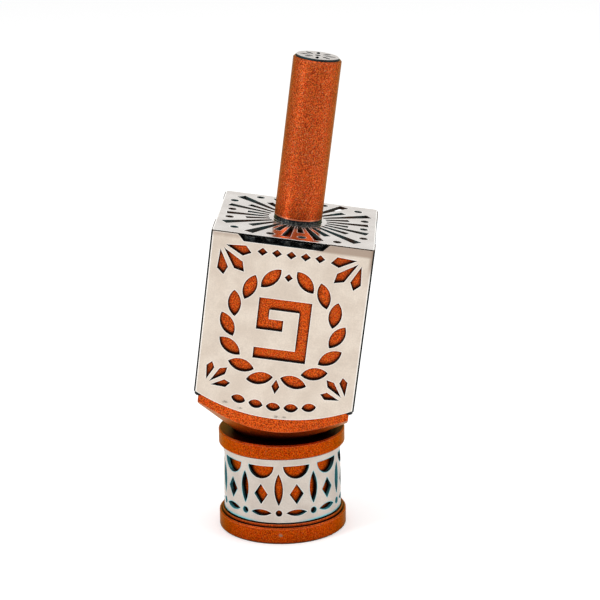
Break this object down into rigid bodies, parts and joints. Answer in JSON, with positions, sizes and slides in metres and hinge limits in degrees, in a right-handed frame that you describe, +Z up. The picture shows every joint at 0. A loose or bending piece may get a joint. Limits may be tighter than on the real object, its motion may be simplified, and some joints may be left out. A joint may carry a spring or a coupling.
{
  "type": "dreidel on a stand",
  "caption": "Metal dreidel with pierced sheet faces and a round stem, leaning in a turned spool stand with a shallow cup.",
  "frame": {"origin": "centre of the stand's underside", "axes": "+Z up along the stand's axis, -Y towards the face with the letter pe, +X to the right of that face"},
  "size_m": [0.0349, 0.0314, 0.0945],
  "materials": {
    "orange_block": "satin copper-orange anodising with a fine sparkle",
    "orange_stem": "satin copper-orange anodising with a fine sparkle",
    "orange_stand": "satin copper-orange anodising with a fine sparkle",
    "steel_point": "ground",
    "pierced_disc": "satin, dark cut edges",
    "pierced_top": "satin, dark cut edges",
    "pierced_panels": "satin, dark cut edges",
    "pierced_band": "satin, dark cut edges"
  },
  "bodies": {
    "stand": {"stand_body": "orange_stand", "stand_band": "pierced_band"},
    "point": {"tip_pin": "steel_point"},
    "dreidel": {"dreidel_block": "orange_block", "stem": "orange_stem", "stem_cap": "pierced_disc", "top_plate": "pierced_top", "panel_pe": "pierced_panels", "panel_nun": "pierced_panels", "panel_gimel": "pierced_panels", "panel_he": "pierced_panels"}
  },
  "joints": [
    {"name": "dreidel_lift", "type": "slide", "parent": "stand", "child": "point", "axis": [0.1311, -0.0229, 0.9911], "range_m": [0, 0.04]},
    {"name": "dreidel_spin", "type": "hinge", "parent": "point", "child": "dreidel", "pos_m": [-0.0026, 0.00045, 0.01398], "axis": [0.1311, -0.0229, 0.9911], "continuous": true}
  ]
}
